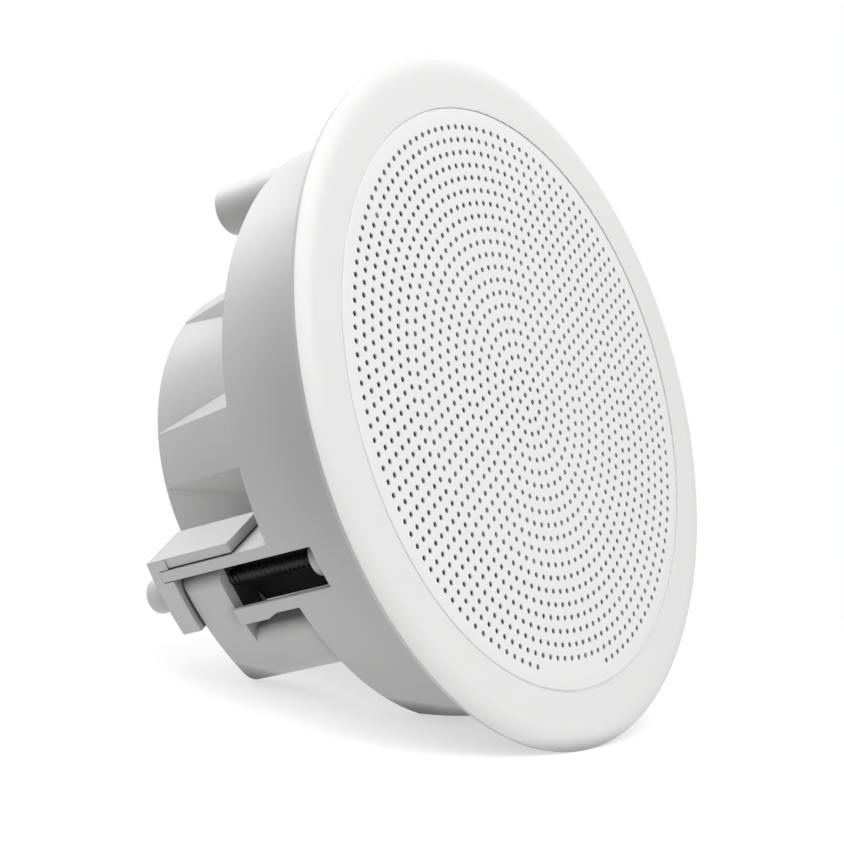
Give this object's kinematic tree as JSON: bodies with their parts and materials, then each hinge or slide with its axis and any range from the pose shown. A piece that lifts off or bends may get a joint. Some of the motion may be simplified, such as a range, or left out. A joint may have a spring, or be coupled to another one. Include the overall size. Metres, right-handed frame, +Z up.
{
  "type": "flush-mount marine speaker",
  "caption": "Round flush-mount marine speaker with a perforated grille, a ribbed rear cup, and screw-driven clamp dogs that swing out to grip the panel from behind.",
  "frame": {"origin": "on the speaker's axis, in the plane where the flange sits on the panel", "axes": "+Y along the axis, into the panel; the front faces -Y; +Z up as mounted in a side panel"},
  "size_m": [0.2224, 0.1014, 0.2224],
  "materials": {
    "white_plastic": "fine matt moulded plastic",
    "grille_paint": "satin white paint on perforated sheet",
    "foam": "closed-cell foam",
    "screw_steel": "stainless steel",
    "black_steel": "black-plated steel",
    "dark_plastic": "matt black plastic",
    "cone_plastic": "moulded white cone",
    "surround_rubber": "grey rubber",
    "spider_cloth": "resin-dipped cloth",
    "former_aluminium": "thin drawn sheet",
    "copper": "enamelled wire",
    "motor_steel": "plated steel",
    "ferrite": "ground ferrite",
    "dome_cloth": "coated cloth",
    "board": "circuit board",
    "cap_sleeve": "film capacitor",
    "tab_brass": "tinned brass",
    "nut_brass": "turned brass"
  },
  "bodies": {
    "speaker": {"flange": "white_plastic", "can": "white_plastic", "grille": "grille_paint", "panel_gasket": "foam", "rear_cup": "white_plastic", "cup_screws": "screw_steel", "driver_basket": "dark_plastic", "driver_screws": "screw_steel", "surround": "surround_rubber", "spider": "spider_cloth", "top_plate": "motor_steel", "magnet": "ferrite", "yoke": "motor_steel", "tweeter_post": "motor_steel", "tweeter_housing": "dark_plastic", "tweeter_dome": "dome_cloth", "crossover_board": "board", "capacitor": "cap_sleeve", "terminal_block": "dark_plastic", "terminal_tabs": "tab_brass", "clamp_keeper_top": "white_plastic", "clamp_keeper_left": "white_plastic", "clamp_keeper_right": "white_plastic"},
    "cone_piston": {"cone": "cone_plastic", "coil_former": "former_aluminium", "coil_winding": "copper"},
    "screw_top": {"clamp_screw_top": "black_steel"},
    "nut_top": {"clamp_nut_top": "nut_brass"},
    "dog_top": {"clamp_dog_top": "white_plastic"},
    "screw_left": {"clamp_screw_left": "black_steel"},
    "nut_left": {"clamp_nut_left": "nut_brass"},
    "dog_left": {"clamp_dog_left": "white_plastic"},
    "screw_right": {"clamp_screw_right": "black_steel"},
    "nut_right": {"clamp_nut_right": "nut_brass"},
    "dog_right": {"clamp_dog_right": "white_plastic"}
  },
  "joints": [
    {"name": "cone_travel", "type": "slide", "parent": "speaker", "child": "cone_piston", "axis": [0, 1, 0], "range_m": [-0.0025, 0.0025], "deforming": ["surround", "spider"]},
    {"name": "screw_top_turn", "type": "hinge", "parent": "speaker", "child": "screw_top", "pos_m": [0, 0, 0.0865], "axis": [0, 1, 0], "range_deg": [0, 6660]},
    {"name": "nut_top_travel", "type": "slide", "parent": "speaker", "child": "nut_top", "axis": [0, -1, 0], "range_m": [0, 0.03238]},
    {"name": "dog_top_swing", "type": "hinge", "parent": "nut_top", "child": "dog_top", "pos_m": [0, 0, 0.0865], "axis": [0, 1, 0], "range_deg": [0, 90]},
    {"name": "screw_left_turn", "type": "hinge", "parent": "speaker", "child": "screw_left", "pos_m": [-0.07491, 0, -0.04325], "axis": [0, 1, 0], "range_deg": [0, 6660]},
    {"name": "nut_left_travel", "type": "slide", "parent": "speaker", "child": "nut_left", "axis": [0, -1, 0], "range_m": [0, 0.03238]},
    {"name": "dog_left_swing", "type": "hinge", "parent": "nut_left", "child": "dog_left", "pos_m": [-0.07491, 0, -0.04325], "axis": [0, 1, 0], "range_deg": [0, 90]},
    {"name": "screw_right_turn", "type": "hinge", "parent": "speaker", "child": "screw_right", "pos_m": [0.07491, 0, -0.04325], "axis": [0, 1, 0], "range_deg": [0, 6660]},
    {"name": "nut_right_travel", "type": "slide", "parent": "speaker", "child": "nut_right", "axis": [0, -1, 0], "range_m": [0, 0.03238]},
    {"name": "dog_right_swing", "type": "hinge", "parent": "nut_right", "child": "dog_right", "pos_m": [0.07491, 0, -0.04325], "axis": [0, 1, 0], "range_deg": [0, 90]}
  ],
  "couplings": [
    {"joint": "screw_top_turn", "follows": "nut_top_travel", "rad_per_m": 3590.4},
    {"joint": "screw_left_turn", "follows": "nut_left_travel", "rad_per_m": 3590.4},
    {"joint": "screw_right_turn", "follows": "nut_right_travel", "rad_per_m": 3590.4}
  ]
}
